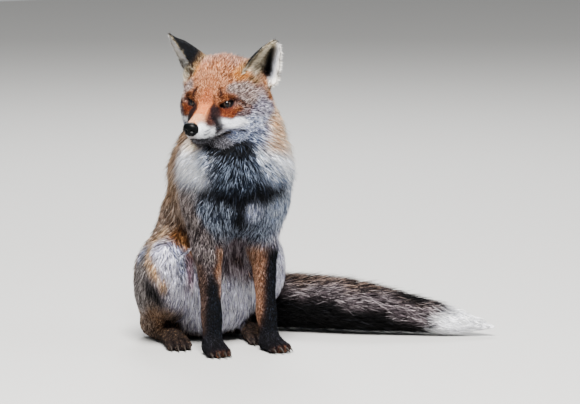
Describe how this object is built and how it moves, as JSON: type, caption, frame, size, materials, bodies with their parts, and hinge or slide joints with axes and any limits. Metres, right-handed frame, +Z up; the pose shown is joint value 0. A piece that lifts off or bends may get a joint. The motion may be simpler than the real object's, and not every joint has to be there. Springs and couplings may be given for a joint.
{
  "type": "fox model",
  "caption": "Life-size still model of a red fox sitting upright with its head turned to its right and its brush laid out along the ground to its left.",
  "frame": {"origin": "on the floor, in the middle of the whole model's box", "axes": "+Z up, the fox's chest faces -Y, its left side and its brush are towards +X"},
  "size_m": [0.559, 0.2968, 0.4906],
  "materials": {
    "fur_red": "rust-red and orange winter fur",
    "fur_grey": "grizzled grey-brown winter fur with pale tips",
    "fur_dark": "blackish-brown short fur",
    "fur_white": "white fur",
    "nose": "black, moist and pebbled",
    "eye": "wet, dark iris with a clear cornea"
  },
  "bodies": {
    "root": {"eye_left": "eye", "ear_left": "fur_dark", "eye_right": "eye", "ear_right": "fur_dark", "head": "fur_red", "muzzle": "fur_red", "nose": "nose", "neck": "fur_grey", "trunk": "fur_grey", "hindleg_left": "fur_grey", "foreleg_left": "fur_dark", "forepaw_left": "fur_dark", "hindpaw_left": "fur_dark", "hindleg_right": "fur_grey", "foreleg_right": "fur_dark", "forepaw_right": "fur_dark", "hindpaw_right": "fur_dark", "tail_base": "fur_dark", "tail_middle": "fur_dark", "tail_tip": "fur_white"}
  },
  "joints": []
}
